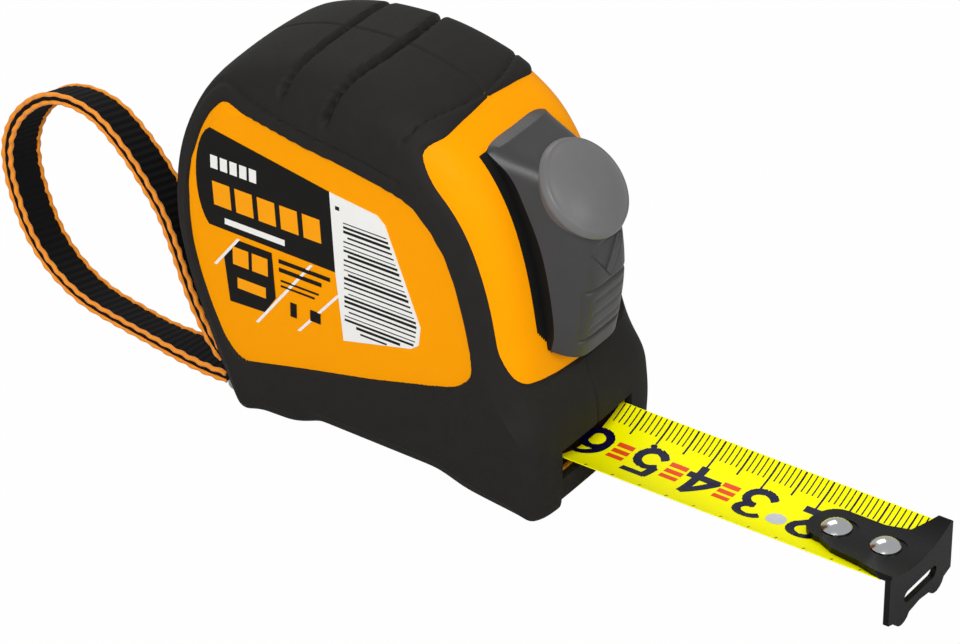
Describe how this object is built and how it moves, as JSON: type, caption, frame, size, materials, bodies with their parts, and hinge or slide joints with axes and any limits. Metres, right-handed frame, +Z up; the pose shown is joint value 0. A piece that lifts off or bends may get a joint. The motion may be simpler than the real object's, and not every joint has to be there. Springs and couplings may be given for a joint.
{
  "type": "tape measure",
  "caption": "Pocket tape measure: two-part case with moulded grips, sprung reel, curled steel blade with a floating end hook, thumb lock and wrist strap.",
  "frame": {"origin": "on the base's plane, under the reel's axle, half way across the case", "axes": "+X forward, the way the blade leaves the mouth; +Y to the user's left, along the reel's axle; +Z up"},
  "size_m": [0.1688, 0.035, 0.0705],
  "materials": {
    "orange_abs": "moulded ABS, satin gloss",
    "grip_rubber": "matte moulded rubber, fine spark texture",
    "label_film": "printed film",
    "zinc_steel": "zinc plated",
    "webbing": "woven nylon webbing with orange edge cords",
    "blade_enamel": "gloss yellow enamel on spring steel",
    "reel_plastic": "natural acetal",
    "spring_steel": "blued strip",
    "nickel": "polished nickel",
    "black_steel": "black oxide, satin",
    "button_plastic": "satin moulded plastic",
    "brake_rubber": "matte"
  },
  "bodies": {
    "case": {"right_shell": "orange_abs", "left_shell": "orange_abs", "right_grip": "grip_rubber", "left_grip": "grip_rubber", "right_label": "label_film", "left_label": "label_film", "case_screws": "zinc_steel", "strap_pin": "zinc_steel", "wrist_strap": "webbing", "mouth_bumper": "grip_rubber", "mouth_guide": "zinc_steel", "spring_arbor": "zinc_steel", "blade_lead": "blade_enamel"},
    "reel": {"reel_drum": "reel_plastic", "drum_cap": "reel_plastic", "reel_washers": "reel_plastic", "power_spring": "spring_steel", "blade_coil": "blade_enamel"},
    "blade": {"blade": "blade_enamel", "hook_rivets": "nickel"},
    "hook": {"end_hook": "black_steel"},
    "lock": {"lock_button": "button_plastic", "lock_slider": "button_plastic", "brake_shoe": "brake_rubber"}
  },
  "joints": [
    {"name": "reel_spin", "type": "hinge", "parent": "case", "child": "reel", "pos_m": [0, 0, 0.037], "axis": [0, 1, 0], "range_deg": [0, 151]},
    {"name": "blade_slide", "type": "slide", "parent": "case", "child": "blade", "axis": [1, 0, 0], "range_m": [-0.0575, 0]},
    {"name": "hook_float", "type": "slide", "parent": "blade", "child": "hook", "axis": [1, 0, 0], "range_m": [-0.001, 0]},
    {"name": "lock_slide", "type": "slide", "parent": "case", "child": "lock", "axis": [-0.2419, 0, 0.9703], "range_m": [0, 0.006]}
  ],
  "couplings": [
    {"joint": "blade_slide", "follows": "reel_spin", "m_per_rad": -0.0215}
  ]
}
